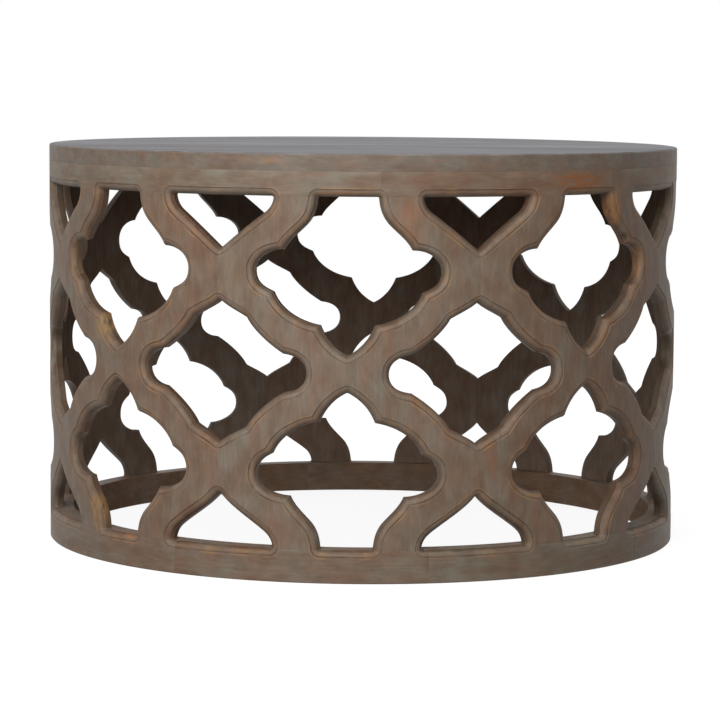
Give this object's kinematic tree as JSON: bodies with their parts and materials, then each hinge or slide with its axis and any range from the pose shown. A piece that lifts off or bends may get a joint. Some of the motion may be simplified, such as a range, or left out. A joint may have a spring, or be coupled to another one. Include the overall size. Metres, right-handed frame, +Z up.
{
  "type": "round carved lattice drum table",
  "caption": "Round coffee table whose drum wall is a carved wooden lattice of ogee openings between two rings, under a planked top.",
  "frame": {"origin": "on the floor, under the middle of the drum", "axes": "+Z up through the middle of the top; the front (-Y) faces a middle crossing of the lattice; the planks run along X"},
  "size_m": [0.76, 0.76, 0.475],
  "materials": {
    "carved_wood": "weathered grey wash over brown, matt",
    "top_wood": "grey wash, satin",
    "dowel_wood": "raw",
    "screw_steel": "zinc plated"
  },
  "bodies": {
    "root": {"stave_01": "carved_wood", "stave_02": "carved_wood", "stave_03": "carved_wood", "stave_04": "carved_wood", "stave_05": "carved_wood", "stave_06": "carved_wood", "stave_07": "carved_wood", "stave_08": "carved_wood", "stave_09": "carved_wood", "stave_10": "carved_wood", "stave_11": "carved_wood", "stave_12": "carved_wood", "stave_13": "carved_wood", "stave_14": "carved_wood", "stave_15": "carved_wood", "stave_16": "carved_wood", "top_ring_1": "carved_wood", "top_ring_2": "carved_wood", "top_ring_3": "carved_wood", "top_ring_4": "carved_wood", "top_ring_5": "carved_wood", "top_ring_6": "carved_wood", "top_ring_7": "carved_wood", "top_ring_8": "carved_wood", "bottom_ring_1": "carved_wood", "bottom_ring_2": "carved_wood", "bottom_ring_3": "carved_wood", "bottom_ring_4": "carved_wood", "bottom_ring_5": "carved_wood", "bottom_ring_6": "carved_wood", "bottom_ring_7": "carved_wood", "bottom_ring_8": "carved_wood", "plank_1": "top_wood", "plank_2": "top_wood", "plank_3": "top_wood", "plank_4": "top_wood", "plank_5": "top_wood", "plank_6": "top_wood", "plank_7": "top_wood", "top_dowels": "dowel_wood", "bottom_dowels": "dowel_wood", "seam_dowels": "dowel_wood", "plank_dowels": "dowel_wood", "top_tongues": "dowel_wood", "bottom_tongues": "dowel_wood", "top_screws": "screw_steel"}
  },
  "joints": []
}
